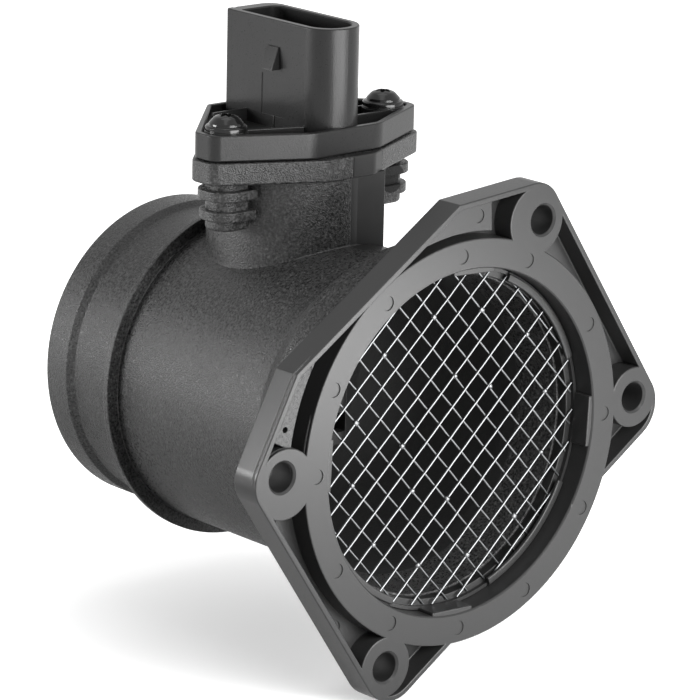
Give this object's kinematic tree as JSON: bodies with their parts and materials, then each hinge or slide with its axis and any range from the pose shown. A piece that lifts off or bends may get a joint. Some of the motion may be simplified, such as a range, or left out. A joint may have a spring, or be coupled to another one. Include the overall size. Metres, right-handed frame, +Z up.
{
  "type": "mass airflow sensor",
  "caption": "Flanged plastic flow tube with a wire screen in its mouth and a plug-in measuring unit with a tall electrical connector on top.",
  "frame": {"origin": "centre of the bore, in the plane of the mounting flange's front face", "axes": "+Y along the bore in the direction of the air flow, from the flange to the hose end; +Z up to the electrical connector; +X to the right as seen from the flange side"},
  "size_m": [0.1352, 0.118, 0.1603],
  "materials": {
    "housing_plastic": "spark-eroded, glass-filled",
    "screen_wire": "drawn bright wire",
    "ring_plastic": "as moulded",
    "sensor_plastic": "as moulded, satin",
    "carrier_metal": "stamped",
    "board_ceramic": "fired, matt",
    "chip_resin": "moulded resin",
    "capacitor_body": "fired",
    "film_chip": "polished silicon",
    "thermistor": "glass bead on wire leads",
    "pin_metal": "tin plated",
    "seal_rubber": "smooth",
    "screw_steel": "black, glossy"
  },
  "bodies": {
    "root": {"flow_housing": "housing_plastic", "wire_screen": "screen_wire", "screen_ring": "ring_plastic", "sensor_body": "sensor_plastic", "electronics_cover": "sensor_plastic", "channel_cover": "sensor_plastic", "carrier_plate": "carrier_metal", "circuit_board": "board_ceramic", "signal_chip": "chip_resin", "capacitor_1": "capacitor_body", "capacitor_2": "capacitor_body", "hot_film_chip": "film_chip", "air_temperature_sensor": "thermistor", "terminal_pin_1": "pin_metal", "terminal_pin_2": "pin_metal", "terminal_pin_3": "pin_metal", "terminal_pin_4": "pin_metal", "terminal_pin_5": "pin_metal", "neck_seal": "seal_rubber", "screw_left": "screw_steel", "screw_right": "screw_steel"}
  },
  "joints": []
}
